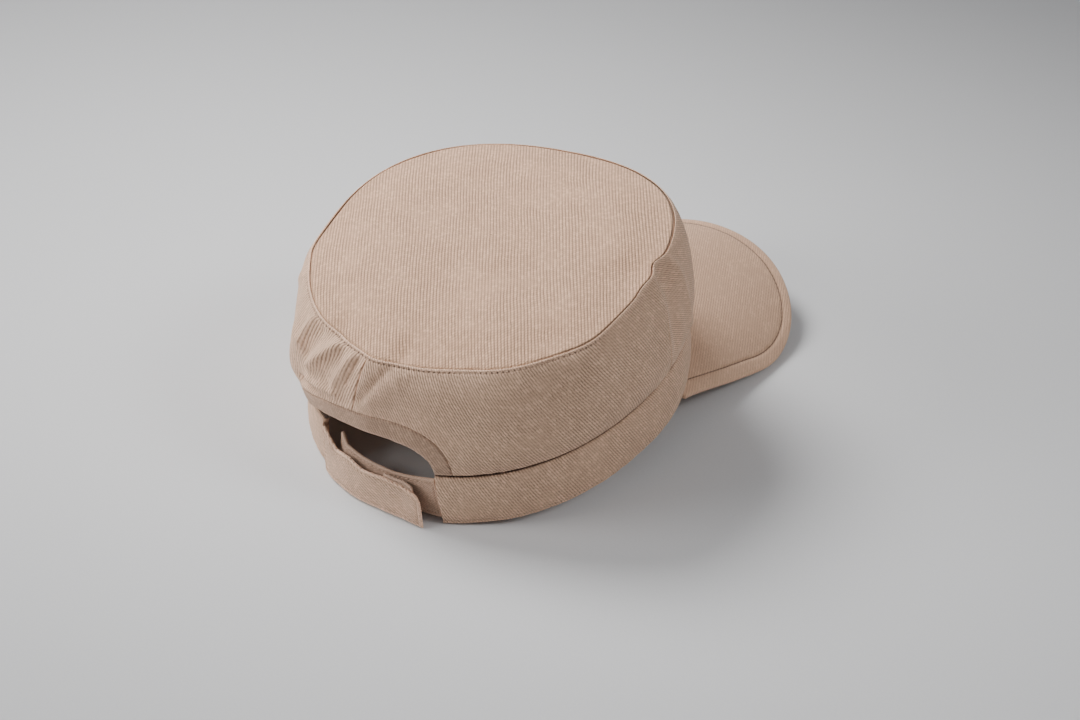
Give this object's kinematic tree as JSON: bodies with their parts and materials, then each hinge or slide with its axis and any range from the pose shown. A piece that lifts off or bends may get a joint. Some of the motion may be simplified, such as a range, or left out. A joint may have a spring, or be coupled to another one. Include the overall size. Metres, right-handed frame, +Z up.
{
  "type": "soft military cap",
  "caption": "Soft twill military cap with a flat oval top, a curved stitched peak, a headband and an arched back opening closed by an overlapping strap.",
  "frame": {"origin": "on the surface the cap rests on, under the middle of its whole outline", "axes": "+Z up, the peak points to -Y, the wearer's left is +X"},
  "size_m": [0.1828, 0.2706, 0.1028],
  "materials": {
    "twill": "matt cotton twill with fine diagonal ribs",
    "peak_twill": "matt cotton twill pulled flat over a stiff peak",
    "strap_twill": "matt cotton twill, folded and stitched",
    "strap_loop": "brushed loop side of a touch fastening",
    "hook_tape": "woven hook tape"
  },
  "bodies": {
    "root": {"top_panel": "twill", "front_panel": "twill", "side_panel_left": "twill", "side_panel_right": "twill", "arch_facing": "twill", "headband": "twill", "peak": "peak_twill", "strap_tab": "strap_twill", "strap_base": "strap_loop", "hook_tape": "hook_tape"}
  },
  "joints": []
}
